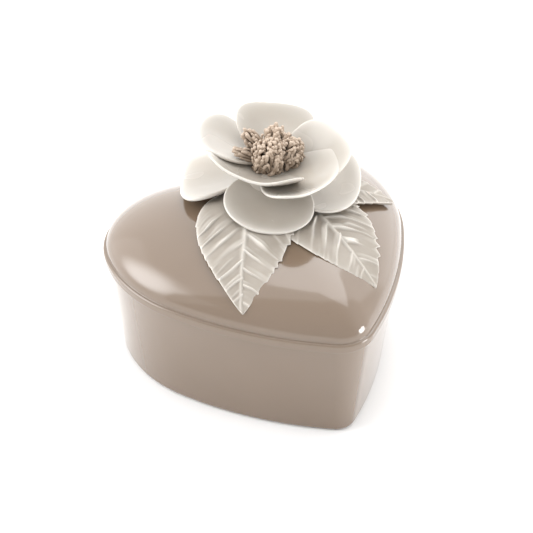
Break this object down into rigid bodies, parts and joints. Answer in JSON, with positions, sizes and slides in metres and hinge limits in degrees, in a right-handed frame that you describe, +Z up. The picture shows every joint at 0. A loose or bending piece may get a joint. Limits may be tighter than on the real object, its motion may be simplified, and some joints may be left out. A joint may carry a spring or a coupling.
{
  "type": "trinket box",
  "caption": "Heart-shaped glazed ceramic trinket box with a domed lid that lifts off, topped by a modelled open flower with petals, a stamen tuft and veined leaves.",
  "frame": {"origin": "centre of the box's footprint, on the surface it stands on", "axes": "+Z up; the tip of the heart points to -Y, the notch is on the +Y side, X runs across the lobes"},
  "size_m": [0.12, 0.1166, 0.0932],
  "materials": {
    "taupe_glaze": "glossy taupe glaze",
    "petal_glaze": "ivory, thin satin glaze",
    "leaf_bisque": "off-white, matte to satin",
    "stamen_bisque": "unglazed tan-brown clay"
  },
  "bodies": {
    "base": {"box_base": "taupe_glaze"},
    "lid": {"lid_shell": "taupe_glaze", "flower_receptacle": "petal_glaze", "upper_petal_1": "petal_glaze", "upper_petal_2": "petal_glaze", "upper_petal_3": "petal_glaze", "upper_petal_4": "petal_glaze", "upper_petal_5": "petal_glaze", "lower_petal_1": "petal_glaze", "lower_petal_2": "petal_glaze", "lower_petal_3": "petal_glaze", "lower_petal_4": "petal_glaze", "leaf_front_left": "leaf_bisque", "leaf_front_right": "leaf_bisque", "leaf_back_right": "leaf_bisque", "stamen_clump_front": "stamen_bisque", "stamen_clump_right": "stamen_bisque", "stamen_clump_rear": "stamen_bisque", "stamen_tuft_left": "stamen_bisque", "stamen_tuft_back_left": "stamen_bisque"}
  },
  "joints": [
    {"name": "lid_lift", "type": "slide", "parent": "base", "child": "lid", "axis": [0, 0, 1], "range_m": [0, 0.08]}
  ]
}
